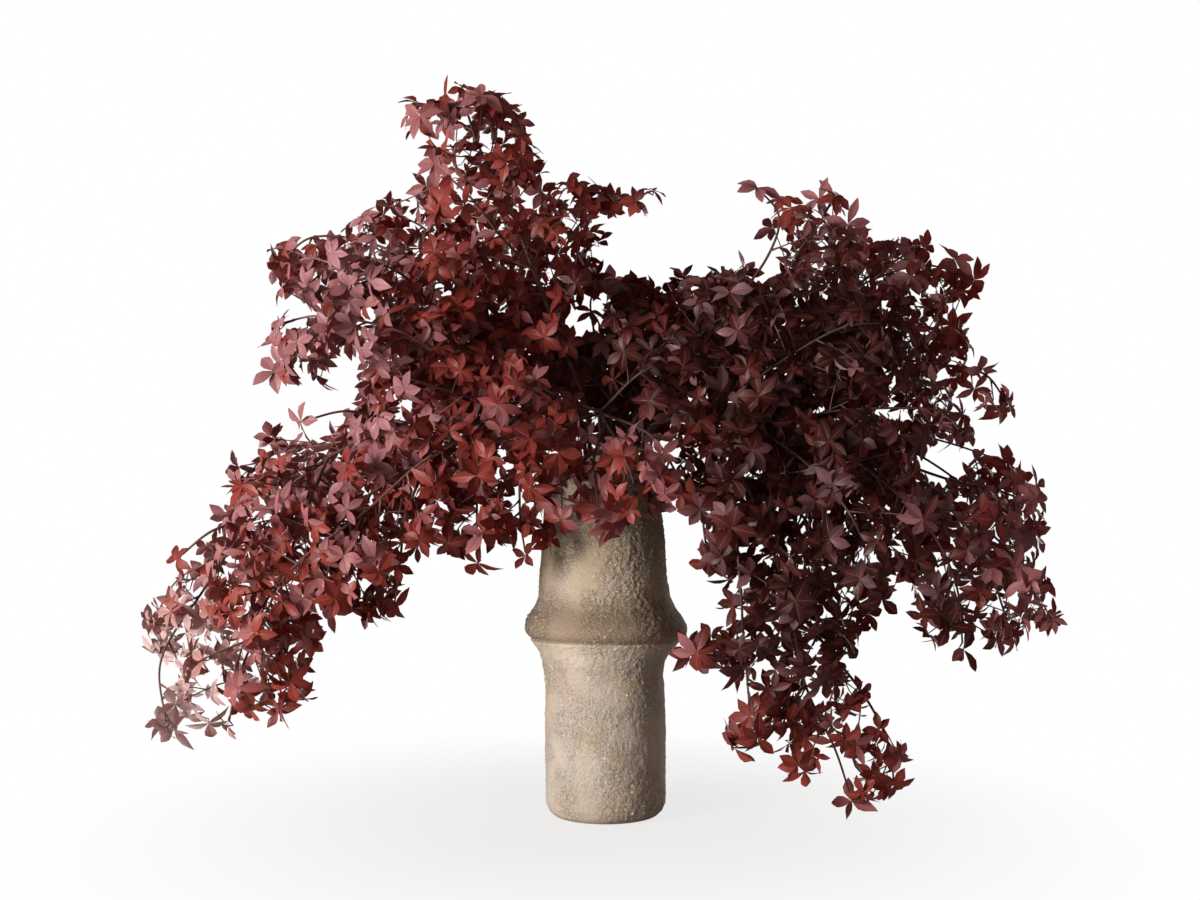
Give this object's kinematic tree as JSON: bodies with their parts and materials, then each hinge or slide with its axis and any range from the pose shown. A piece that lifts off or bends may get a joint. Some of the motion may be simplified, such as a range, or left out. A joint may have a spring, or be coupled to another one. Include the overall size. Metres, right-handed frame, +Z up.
{
  "type": "preserved maple branch in vase",
  "caption": "Arching bunch of dark red preserved maple branches with whorls of pointed leaflets, standing in a tall rough clay vase that has a ring round its waist.",
  "frame": {"origin": "middle of the vase's foot, on the surface it stands on", "axes": "+Z up, +X to the right and +Y to the back as the arrangement is seen from the front"},
  "size_m": [0.8729, 0.4634, 0.6541],
  "materials": {
    "clay": "coarse gritty unglazed clay, beige with brown and grey patches",
    "foliage": "supple preserved leaves, dark wine red to rust red with a soft satin sheen, on thin brown twigs"
  },
  "bodies": {
    "root": {"vase": "clay", "branch_crown": "foliage", "branch_left_high": "foliage", "branch_left_low": "foliage", "branch_left_front": "foliage", "branch_centre": "foliage", "branch_right_high": "foliage", "branch_right_top": "foliage", "branch_right_mid": "foliage", "branch_right_low": "foliage", "branch_fall": "foliage", "branch_front": "foliage", "branch_back_left": "foliage", "branch_back_right": "foliage", "branch_back": "foliage"}
  },
  "joints": []
}
